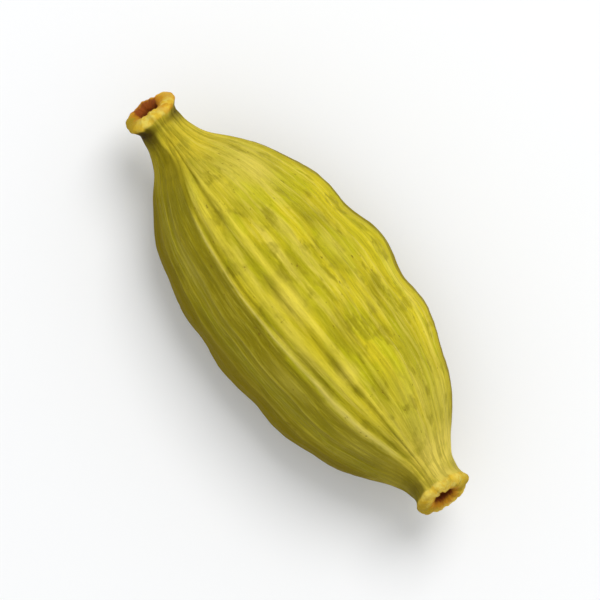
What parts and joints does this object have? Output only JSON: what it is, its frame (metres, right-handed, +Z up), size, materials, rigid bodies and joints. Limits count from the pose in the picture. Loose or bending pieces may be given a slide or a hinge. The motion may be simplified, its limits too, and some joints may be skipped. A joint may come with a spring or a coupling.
{
  "type": "green cardamom pod",
  "caption": "Dried green cardamom pod: a ribbed, cornered husk swollen by its seeds, with a raised midrib and, at both ends, a short neck with a flared, hollow collar.",
  "frame": {"origin": "on the surface that the pod lies on, under the middle of its box", "axes": "+X along the pod from the long neck (flower end) to the short neck (stalk end), +Y across it, +Z up"},
  "size_m": [0.0206, 0.0086, 0.0073],
  "materials": {
    "husk": "dry, fibrous, yellow-green plant skin with a faint sheen, tan at the necks and collars"
  },
  "bodies": {
    "root": {"cardamom_pod": "husk"}
  },
  "joints": []
}
